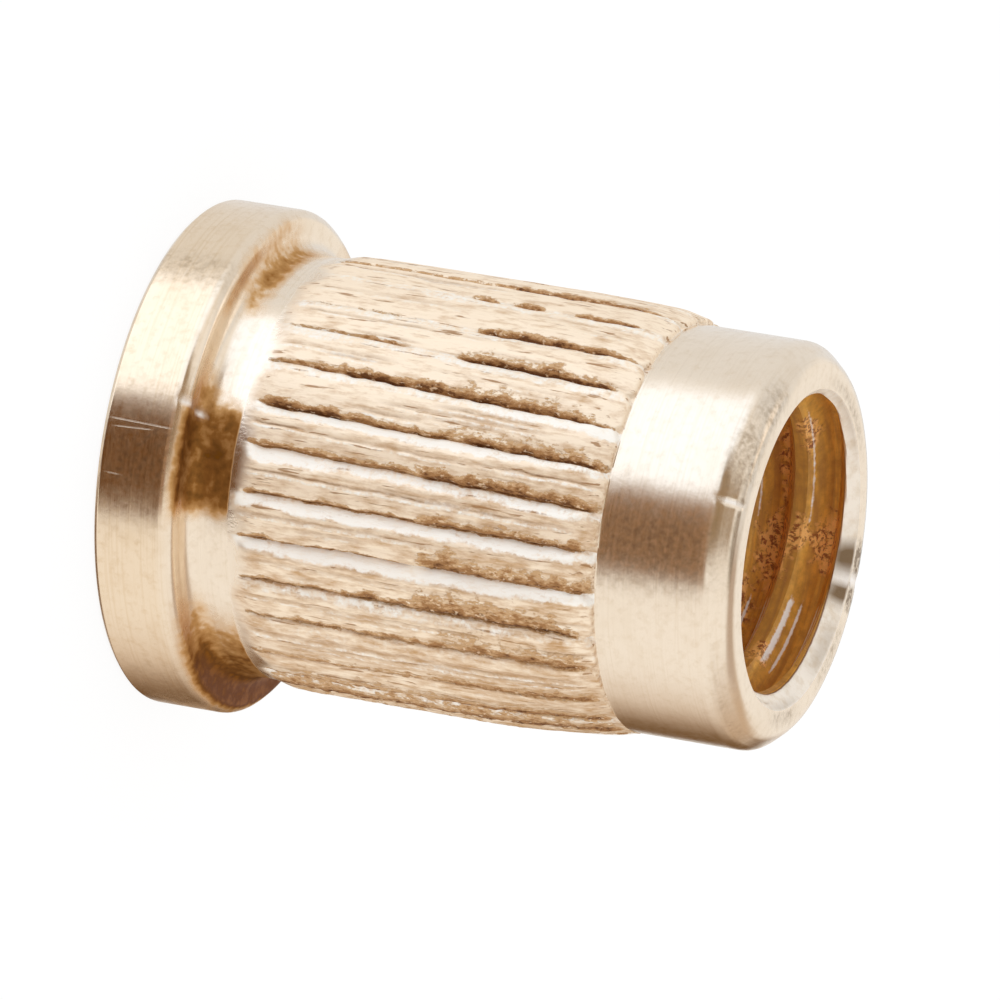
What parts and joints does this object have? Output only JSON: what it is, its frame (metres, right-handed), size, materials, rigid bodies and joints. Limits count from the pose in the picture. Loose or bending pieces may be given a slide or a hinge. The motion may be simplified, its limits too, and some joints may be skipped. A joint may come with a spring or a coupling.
{
  "type": "threaded insert",
  "caption": "Headed brass threaded insert with a straight knurled barrel, a smooth chamfered pilot and a threaded through hole.",
  "frame": {"origin": "centre of the head's flat face, which the insert stands on", "axes": "+Z along the thread, from the head to the mouth of the pilot"},
  "size_m": [0.0116, 0.0116, 0.0148],
  "materials": {
    "brass": "bright turned surfaces with a torn straight knurl and light handling nicks"
  },
  "bodies": {
    "root": {"insert_body": "brass"}
  },
  "joints": []
}
